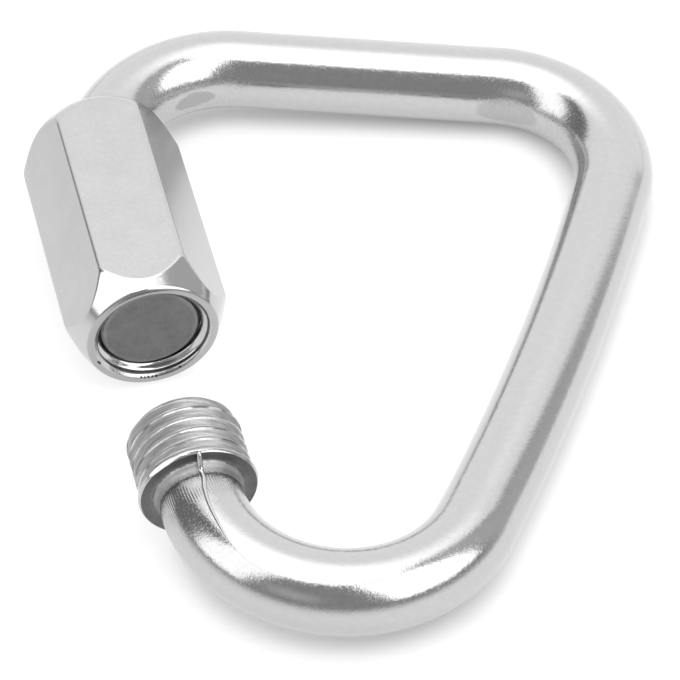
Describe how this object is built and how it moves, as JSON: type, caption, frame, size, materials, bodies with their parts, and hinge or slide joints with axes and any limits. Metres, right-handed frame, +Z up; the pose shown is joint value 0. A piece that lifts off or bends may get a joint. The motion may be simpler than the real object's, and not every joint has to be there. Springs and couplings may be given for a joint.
{
  "type": "delta quick link",
  "caption": "Triangular quick link of bent round steel bar, with an open gate in one leg and a long hexagonal screw sleeve that closes it.",
  "frame": {"origin": "middle of the base bar's inner side, on the link's middle plane, where a ring or strap bears", "axes": "link in the XY plane; +Y from the pointed bend to the base bar, +X along the base bar away from the gate, +Z up from the flat side it lies on"},
  "size_m": [0.0642, 0.0776, 0.0146],
  "materials": {
    "polished_bar": "polished stainless steel",
    "satin_sleeve": "satin stainless steel"
  },
  "bodies": {
    "link": {"link_body": "polished_bar"},
    "sleeve": {"hex_sleeve": "satin_sleeve"}
  },
  "joints": [
    {"name": "sleeve_travel", "type": "slide", "parent": "link", "child": "sleeve", "axis": [0.2936, -0.9559, 0], "range_m": [0, 0.02]}
  ]
}
